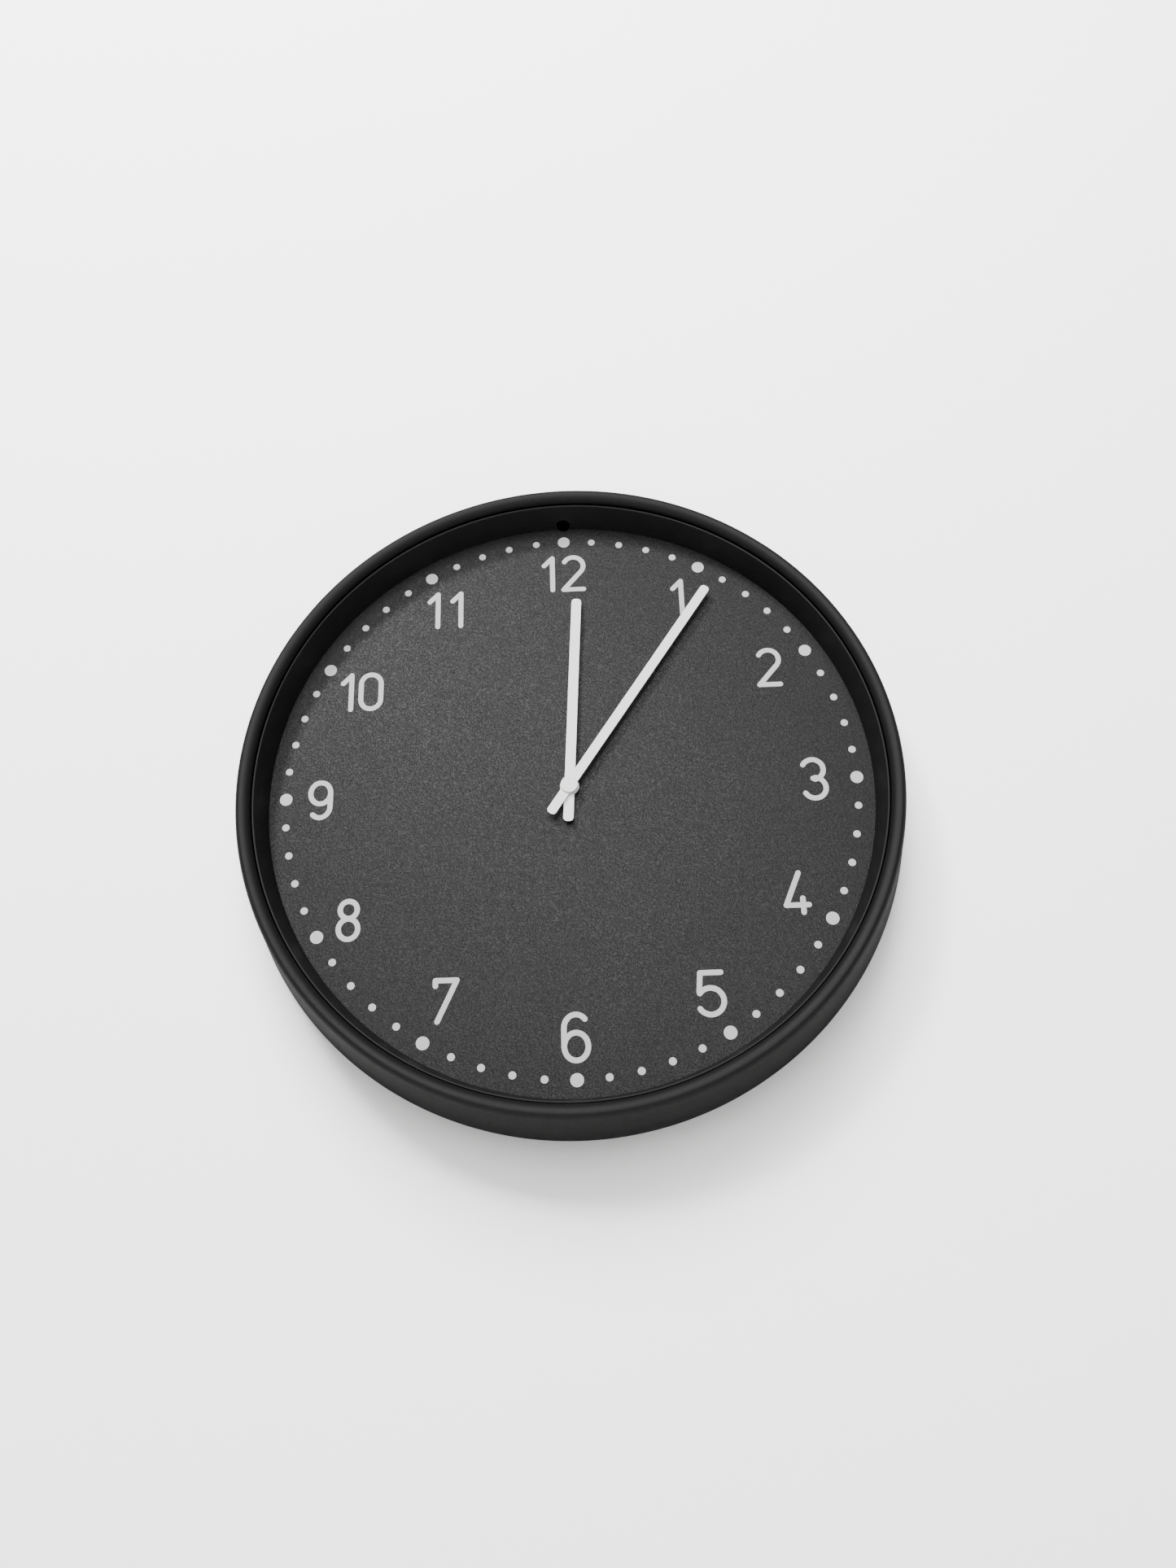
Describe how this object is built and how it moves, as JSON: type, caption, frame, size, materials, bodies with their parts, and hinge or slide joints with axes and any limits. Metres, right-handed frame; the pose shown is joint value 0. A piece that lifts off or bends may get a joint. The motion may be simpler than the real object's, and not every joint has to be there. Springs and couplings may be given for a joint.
{
  "type": "wall clock",
  "caption": "Round black wall clock: deep flared frame with a rounded lip, drafted inner ring, sunk grained dial, slim hands and a battery quartz movement behind.",
  "frame": {"origin": "where the hand axis meets the wall plane, at the middle of the back edge", "axes": "+Z toward 12 o'clock, +Y into the wall along the hand axis, so the face looks toward -Y; +X toward 3 o'clock"},
  "size_m": [0.38, 0.0451, 0.38],
  "materials": {
    "frame_black": "smooth satin black moulded plastic",
    "ring_black": "smooth satin black moulded plastic",
    "dial_grain": "charcoal plastic with a fine moulded grain",
    "zinc_steel": "zinc-plated pressed steel",
    "screw_zinc": "zinc-plated steel screw",
    "hand_white": "aluminium sheet with white paint",
    "cap_white": "white moulded plastic",
    "movement_black": "black moulded plastic",
    "knob_grey": "grey moulded plastic",
    "gear_cream": "cream moulded acetal",
    "gear_black": "black moulded acetal",
    "magnet_grey": "sintered magnet",
    "bobbin_cream": "cream moulded plastic",
    "coil_copper": "enamelled copper wire",
    "board_green": "green solder mask on glass fibre board",
    "chip_black": "black potting resin",
    "crystal_can": "drawn metal can",
    "contact_nickel": "nickel-plated spring steel",
    "battery_wrap": "printed shrink sleeve in dark grey and copper, with no marks"
  },
  "bodies": {
    "case": {"outer_frame": "frame_black", "inner_ring": "ring_black", "dial_plate": "dial_grain", "hanger_plate": "zinc_steel", "movement_housing": "movement_black", "train_plate": "movement_black", "movement_cover": "movement_black", "stator": "zinc_steel", "coil_core": "zinc_steel", "coil_bobbin": "bobbin_cream", "coil_winding": "coil_copper", "circuit_board": "board_green", "controller_chip": "chip_black", "quartz_crystal": "crystal_can", "contact_positive": "contact_nickel", "contact_negative": "contact_nickel", "frame_screw_1": "screw_zinc", "frame_screw_2": "screw_zinc", "frame_screw_3": "screw_zinc", "frame_screw_4": "screw_zinc", "frame_screw_5": "screw_zinc", "frame_screw_6": "screw_zinc", "hanger_screw_1": "screw_zinc", "hanger_screw_2": "screw_zinc", "movement_screw_1": "screw_zinc", "movement_screw_2": "screw_zinc", "movement_screw_3": "screw_zinc", "movement_screw_4": "screw_zinc"},
    "minute_group": {"minute_hand": "hand_white", "hand_cap": "cap_white", "minute_shaft": "gear_black"},
    "hour_group": {"hour_hand": "hand_white", "hour_wheel": "gear_cream"},
    "minute_wheel_group": {"minute_wheel": "gear_cream"},
    "setting_group": {"setting_knob": "knob_grey", "setting_pinion": "gear_black"},
    "seconds_group": {"seconds_wheel": "gear_cream"},
    "centre_group": {"centre_wheel": "gear_cream"},
    "third_group": {"third_wheel": "gear_cream"},
    "step_group": {"step_wheel": "gear_cream"},
    "rotor_group": {"rotor": "gear_cream", "rotor_magnet": "magnet_grey"},
    "battery_group": {"battery": "battery_wrap"}
  },
  "joints": [
    {"name": "minute_turn", "type": "hinge", "parent": "case", "child": "minute_group", "pos_m": [0, -0.0165, 0], "axis": [0, 1, 0], "continuous": true},
    {"name": "hour_turn", "type": "hinge", "parent": "case", "child": "hour_group", "pos_m": [0, -0.0165, 0], "axis": [0, 1, 0], "continuous": true},
    {"name": "minute_wheel_turn", "type": "hinge", "parent": "case", "child": "minute_wheel_group", "pos_m": [0.01039, -0.0165, 0.006], "axis": [0, 1, 0], "continuous": true},
    {"name": "setting_turn", "type": "hinge", "parent": "case", "child": "setting_group", "pos_m": [0.0135, -0.0165, 0.01759], "axis": [0, 1, 0], "continuous": true},
    {"name": "seconds_turn", "type": "hinge", "parent": "case", "child": "seconds_group", "pos_m": [0, -0.0165, 0], "axis": [0, 1, 0], "continuous": true},
    {"name": "centre_turn", "type": "hinge", "parent": "case", "child": "centre_group", "pos_m": [0, -0.0165, 0], "axis": [0, 1, 0], "continuous": true},
    {"name": "third_turn", "type": "hinge", "parent": "case", "child": "third_group", "pos_m": [-0.00935, -0.0165, 0.0054], "axis": [0, 1, 0], "continuous": true},
    {"name": "step_turn", "type": "hinge", "parent": "case", "child": "step_group", "pos_m": [0.00094, -0.0165, 0.01076], "axis": [0, 1, 0], "continuous": true},
    {"name": "rotor_turn", "type": "hinge", "parent": "case", "child": "rotor_group", "pos_m": [-0.00446, -0.0165, 0.01719], "axis": [0, 1, 0], "continuous": true},
    {"name": "battery_slide", "type": "slide", "parent": "case", "child": "battery_group", "axis": [0, 1, 0], "range_m": [0, 0.02]}
  ],
  "couplings": [
    {"joint": "hour_turn", "follows": "minute_turn", "ratio": 0.083333},
    {"joint": "minute_wheel_turn", "follows": "minute_turn", "ratio": -0.33333},
    {"joint": "setting_turn", "follows": "minute_turn", "ratio": 1},
    {"joint": "centre_turn", "follows": "seconds_turn", "ratio": 0.016667},
    {"joint": "third_turn", "follows": "seconds_turn", "ratio": -0.13333},
    {"joint": "step_turn", "follows": "seconds_turn", "ratio": -5},
    {"joint": "rotor_turn", "follows": "seconds_turn", "ratio": 30}
  ]
}
